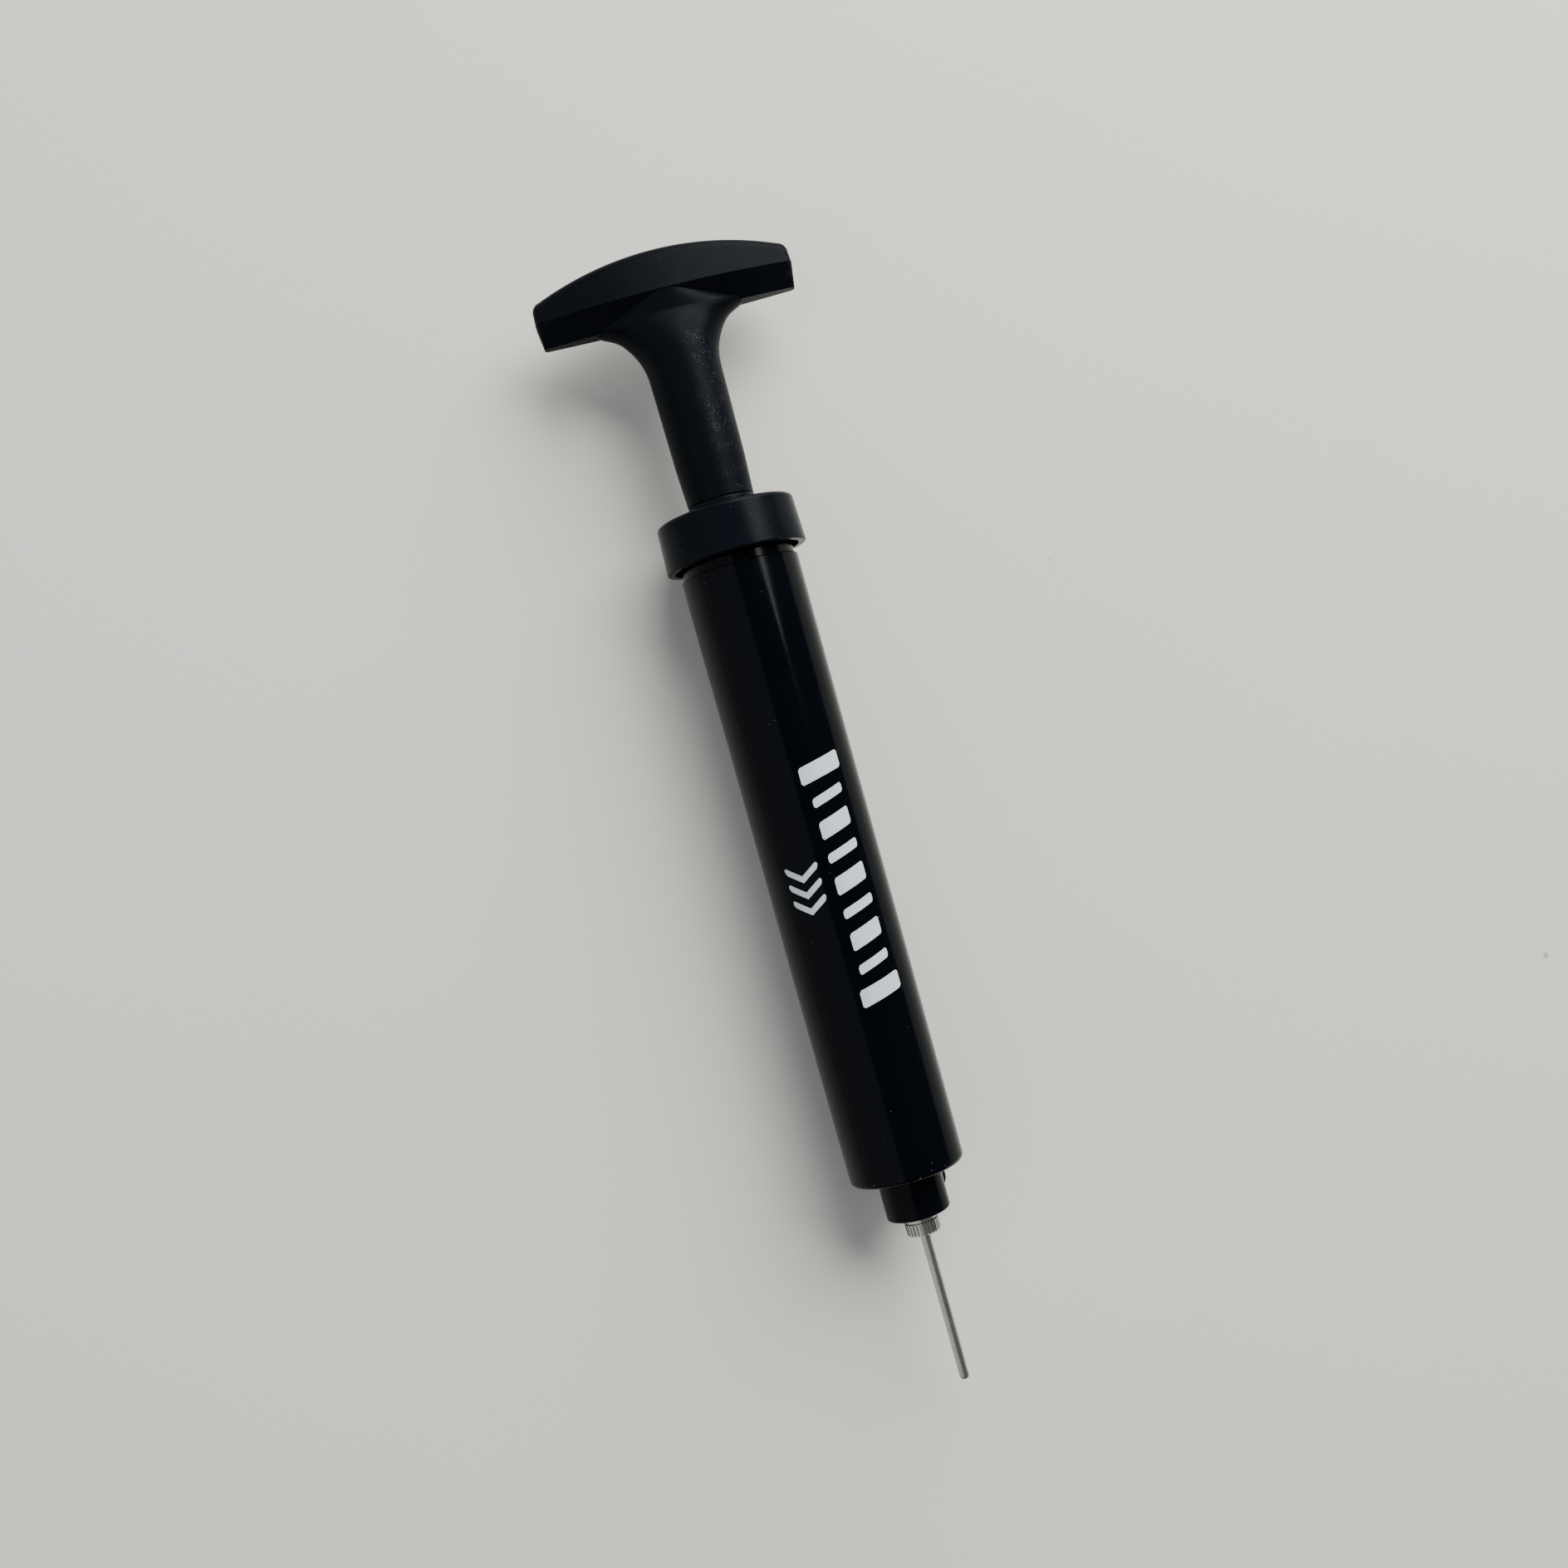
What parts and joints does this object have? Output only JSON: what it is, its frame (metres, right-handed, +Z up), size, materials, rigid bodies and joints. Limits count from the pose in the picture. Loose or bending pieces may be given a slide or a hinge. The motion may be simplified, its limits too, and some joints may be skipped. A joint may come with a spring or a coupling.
{
  "type": "ball inflation pump",
  "caption": "Small black hand pump with a T handle, screw cap, glossy barrel and a screw-in nickel ball needle.",
  "frame": {"origin": "centre of the bounding box's bottom face: on the table under the pump's axis, half way along its length", "axes": "+Y along the pump axis towards the T handle, +X along the T bar, +Z up"},
  "size_m": [0.0588, 0.2598, 0.032],
  "materials": {
    "handle_plastic": "fine spark-eroded grain, slightly worn",
    "cap_plastic": "semi-gloss with light scuffs",
    "barrel_plastic": "glossy black with a blue tint, printed marks",
    "inner_plastic": "natural acetal",
    "rod_steel": "bright drawn",
    "fastener_steel": "zinc plated",
    "needle_nickel": "nickel plated",
    "brass": "turned",
    "seal_rubber": "matt",
    "felt": "dense felt"
  },
  "bodies": {
    "barrel_group": {"barrel": "barrel_plastic", "cap": "cap_plastic", "guide_bush": "inner_plastic", "rod_wiper": "felt", "cap_gasket": "seal_rubber", "thread_insert": "brass", "valve_cage": "inner_plastic", "valve_seat": "seal_rubber", "valve_spring": "fastener_steel"},
    "piston_group": {"piston_body": "inner_plastic", "piston_cup": "seal_rubber", "cup_retainer": "inner_plastic", "bumper_ring": "seal_rubber"},
    "plunger": {"handle": "handle_plastic", "rod": "rod_steel", "piston_screw": "fastener_steel", "piston_washer": "fastener_steel"},
    "check_ball": {"valve_ball": "fastener_steel"},
    "needle_carrier": {"needle_washer": "seal_rubber"},
    "needle": {"needle_hub": "needle_nickel", "needle_tube": "needle_nickel"}
  },
  "joints": [
    {"name": "pump_stroke", "type": "slide", "parent": "barrel_group", "child": "piston_group", "axis": [0, 1, 0], "range_m": [0, 0.1285]},
    {"name": "handle_twist", "type": "hinge", "parent": "piston_group", "child": "plunger", "pos_m": [0, -0.0694, 0.016], "axis": [0, 1, 0], "continuous": true},
    {"name": "check_valve", "type": "slide", "parent": "barrel_group", "child": "check_ball", "axis": [0, -1, 0], "range_m": [0, 0.0004], "stiffness_N_per_m": 200, "springref_m": -0.0008, "deforming": ["valve_spring"]},
    {"name": "needle_out", "type": "slide", "parent": "barrel_group", "child": "needle_carrier", "axis": [0, -1, 0], "range_m": [0, 0.0046]},
    {"name": "needle_turn", "type": "hinge", "parent": "needle_carrier", "child": "needle", "pos_m": [0, -0.0914, 0.016], "axis": [0, -1, 0], "range_deg": [0, 2070]}
  ],
  "couplings": [
    {"joint": "needle_turn", "follows": "needle_out", "rad_per_m": 7854}
  ]
}
